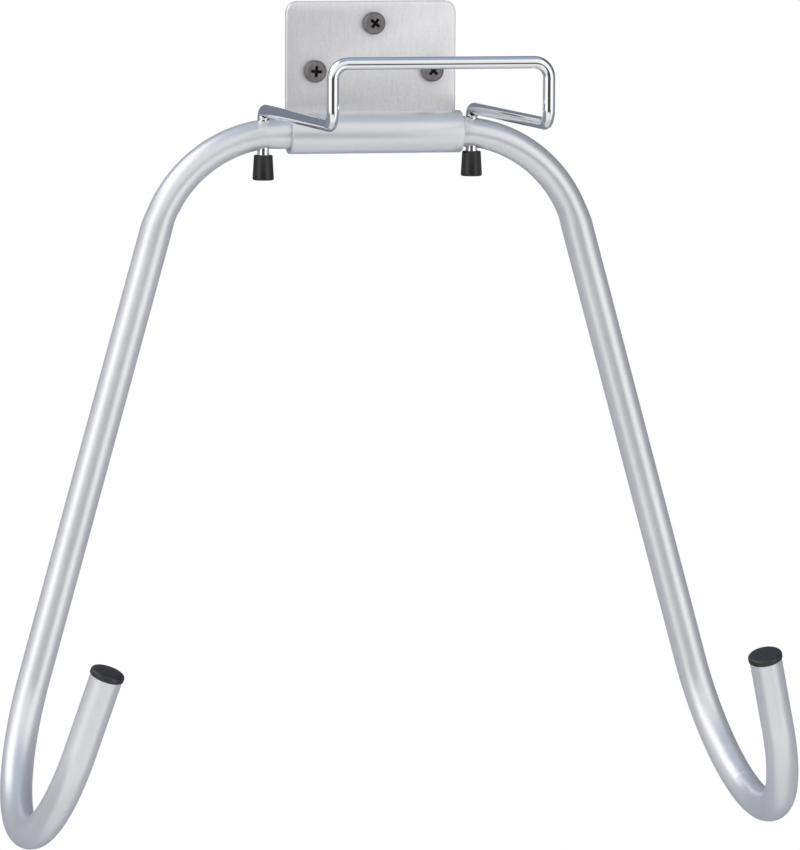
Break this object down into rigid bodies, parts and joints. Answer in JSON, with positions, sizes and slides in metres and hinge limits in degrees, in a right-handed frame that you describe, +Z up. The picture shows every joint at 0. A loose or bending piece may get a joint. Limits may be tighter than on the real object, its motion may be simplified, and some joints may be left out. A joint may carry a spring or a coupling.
{
  "type": "bicycle wall rack",
  "caption": "Wall rack for bicycles: splayed tubular arms ending in hooks turn in a sleeve on a screwed wall plate, linked by a chrome wire brace.",
  "frame": {"origin": "on the wall, at the back face of the wall plate, between its screw holes", "axes": "+X to the right as seen from the room, +Y into the wall, +Z up; the arms are drawn hanging down, folded against the wall"},
  "size_m": [0.4711, 0.2349, 0.491],
  "materials": {
    "plate_paint": "pale silver paint, satin",
    "arm_paint": "metallic silver powder coat, satin",
    "screw_steel": "dark zinc-plated steel",
    "wire_chrome": "bright chrome plate",
    "plug_plastic": "black plastic, semi-gloss",
    "tip_rubber": "charcoal rubber, matt"
  },
  "bodies": {
    "wall_bracket": {"wall_plate": "plate_paint", "pivot_sleeve": "arm_paint", "fillet_weld": "arm_paint", "wall_screw_top": "screw_steel", "wall_screw_left": "screw_steel", "wall_screw_right": "screw_steel"},
    "left_arm": {"arm_left": "arm_paint", "end_plug_left": "plug_plastic"},
    "right_arm": {"arm_right": "arm_paint", "end_plug_right": "plug_plastic"},
    "brace": {"brace_wire": "wire_chrome", "wire_tip_left": "tip_rubber", "wire_tip_right": "tip_rubber"}
  },
  "joints": [
    {"name": "left_arm_fold", "type": "hinge", "parent": "wall_bracket", "child": "left_arm", "pos_m": [0, -0.0127, -0.044], "axis": [-1, 0, 0], "range_deg": [0, 76.5]},
    {"name": "right_arm_fold", "type": "hinge", "parent": "wall_bracket", "child": "right_arm", "pos_m": [0, -0.0127, -0.044], "axis": [-1, 0, 0], "range_deg": [0, 76.5]},
    {"name": "brace_lift", "type": "slide", "parent": "left_arm", "child": "brace", "axis": [0, 0, 1], "range_m": [0, 0.0006]}
  ],
  "couplings": [
    {"joint": "right_arm_fold", "follows": "left_arm_fold", "ratio": 1}
  ]
}
